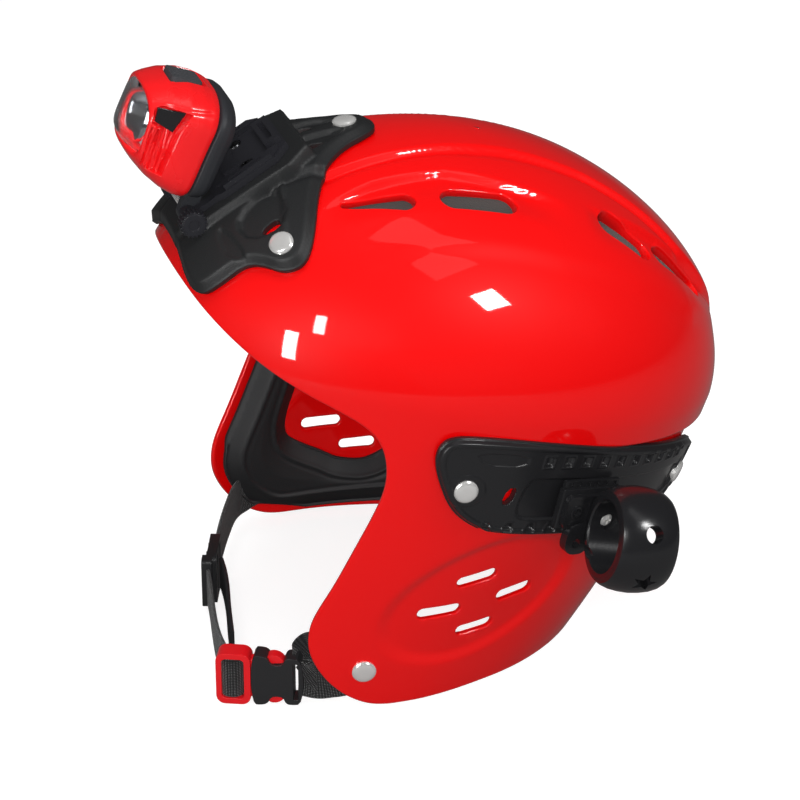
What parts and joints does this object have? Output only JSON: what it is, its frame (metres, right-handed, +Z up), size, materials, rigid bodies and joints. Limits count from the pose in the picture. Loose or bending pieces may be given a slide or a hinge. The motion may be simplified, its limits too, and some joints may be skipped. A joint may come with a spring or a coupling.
{
  "type": "water rescue helmet",
  "caption": "Full-cut glossy helmet with ear flaps, vents, side rails, a tilting forehead lamp, a sliding torch ring and a chin strap with side-release buckle.",
  "frame": {"origin": "on the flat the helmet stands on, in its mid plane, under the crown axis; this is the centre of the head opening", "axes": "+Z up with the helmet standing on its lower rim, -Y towards the face, +X towards the wearer's left, the side with the torch ring"},
  "size_m": [0.2713, 0.2854, 0.2865],
  "materials": {
    "shell_red": "glossy injection-moulded ABS",
    "lamp_red": "satin-gloss ABS",
    "foam_grey": "fabric-faced EVA foam",
    "foam_black": "smooth EVA foam",
    "bracket_black": "fine-grained matt nylon",
    "rail_black": "semi-gloss nylon",
    "lamp_black": "fine-grained ABS",
    "buckle_black": "acetal",
    "buckle_red": "satin acetal",
    "webbing": "woven polyester",
    "plated_steel": "nickel plated",
    "steel": "turned steel",
    "clear_lens": "clear polycarbonate",
    "bright_cup": "vacuum-metallised",
    "led": "phosphor under silicone",
    "board": "solder mask",
    "cell": "foil pouch",
    "smoked": "smoked acrylic",
    "button_grey": "ribbed rubber"
  },
  "bodies": {
    "helmet": {"shell": "shell_red", "liner_crown": "foam_grey", "liner_front": "foam_black", "liner_rear": "foam_black", "ear_pad_left": "foam_black", "ear_pad_right": "foam_black", "front_bracket": "bracket_black", "bracket_rivets": "plated_steel", "side_rail_left": "rail_black", "side_rail_right": "rail_black", "rail_rivets": "plated_steel", "strap_rivets": "plated_steel", "lamp_base_plate": "lamp_black", "base_screws": "steel", "lamp_hinge_pin": "steel"},
    "chin_strap": {"near_strap": "webbing", "female_buckle": "buckle_black", "far_strap_upper": "webbing", "ladder_lock": "buckle_black", "strap_tail": "webbing"},
    "buckle_tongue": {"male_buckle": "buckle_red", "far_strap_lower": "webbing"},
    "lamp": {"lamp_back_housing": "lamp_black", "lamp_front_housing": "lamp_red", "lamp_lens": "clear_lens", "lamp_reflector": "bright_cup", "lamp_led": "led", "lamp_board": "board", "lamp_battery": "cell", "lamp_side_window": "smoked"},
    "button": {"lamp_button": "button_grey"},
    "wheel": {"thumbwheel": "lamp_black"},
    "carriage": {"torch_carriage": "rail_black", "carriage_screw": "steel"},
    "ring": {"torch_ring": "rail_black"}
  },
  "joints": [
    {"name": "lamp_tilt", "type": "hinge", "parent": "helmet", "child": "lamp", "pos_m": [0, -0.11598, 0.21832], "axis": [1, 0, 0], "range_deg": [-8, 36]},
    {"name": "wheel_turn", "type": "hinge", "parent": "helmet", "child": "wheel", "pos_m": [0, -0.11598, 0.21832], "axis": [1, 0, 0], "range_deg": [-90, 90]},
    {"name": "button_press", "type": "slide", "parent": "lamp", "child": "button", "axis": [0, -0.342, -0.9397], "range_m": [0, 0.001]},
    {"name": "carriage_slide", "type": "slide", "parent": "helmet", "child": "carriage", "axis": [-0.2901, 0.9286, -0.2315], "range_m": [-0.008, 0.008]},
    {"name": "ring_swivel", "type": "hinge", "parent": "carriage", "child": "ring", "pos_m": [0.10121, 0.04589, 0.09026], "axis": [0.957, 0.2814, -0.0702], "range_deg": [-20, 15]},
    {"name": "strap_swing", "type": "hinge", "parent": "helmet", "child": "chin_strap", "pos_m": [0, -0.05987, 0.02089], "axis": [1, 0, 0], "range_deg": [-30, 20]},
    {"name": "buckle_release", "type": "slide", "parent": "chin_strap", "child": "buckle_tongue", "axis": [-0.3905, -0.9206, 0], "range_m": [0, 0.02]}
  ]
}
